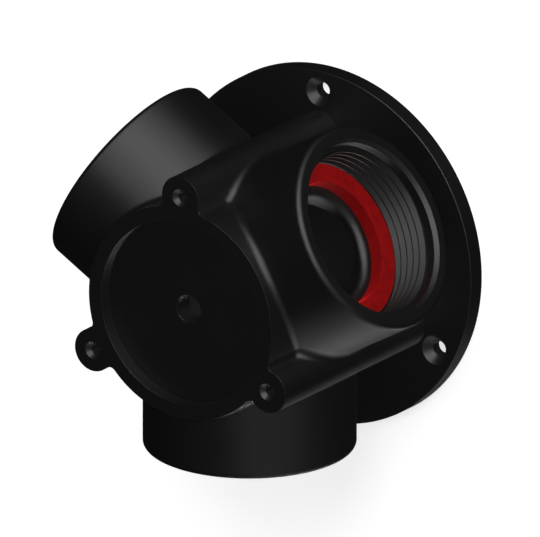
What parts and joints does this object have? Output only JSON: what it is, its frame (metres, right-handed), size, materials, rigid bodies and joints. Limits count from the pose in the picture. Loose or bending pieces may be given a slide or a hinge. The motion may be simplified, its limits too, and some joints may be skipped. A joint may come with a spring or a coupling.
{
  "type": "y-connector",
  "caption": "Flanged y-connector for pipes: moulded body with threaded ports at 120 degrees, a flat rubber seal in each port and countersunk screw holes in flange and front face.",
  "frame": {"origin": "centre of the flange's rear face, which lies on z = 0", "axes": "+Z along the column from the flange's rear face to the column's front face; -Y along the lower port's axis; the other two ports at 30 and 150 degrees from +X"},
  "size_m": [0.1091, 0.1, 0.07],
  "materials": {
    "body_plastic": "satin moulded black plastic",
    "seal_rubber": "smooth matt red rubber"
  },
  "bodies": {
    "root": {"body": "body_plastic", "right_seal": "seal_rubber", "left_seal": "seal_rubber", "lower_seal": "seal_rubber"}
  },
  "joints": []
}
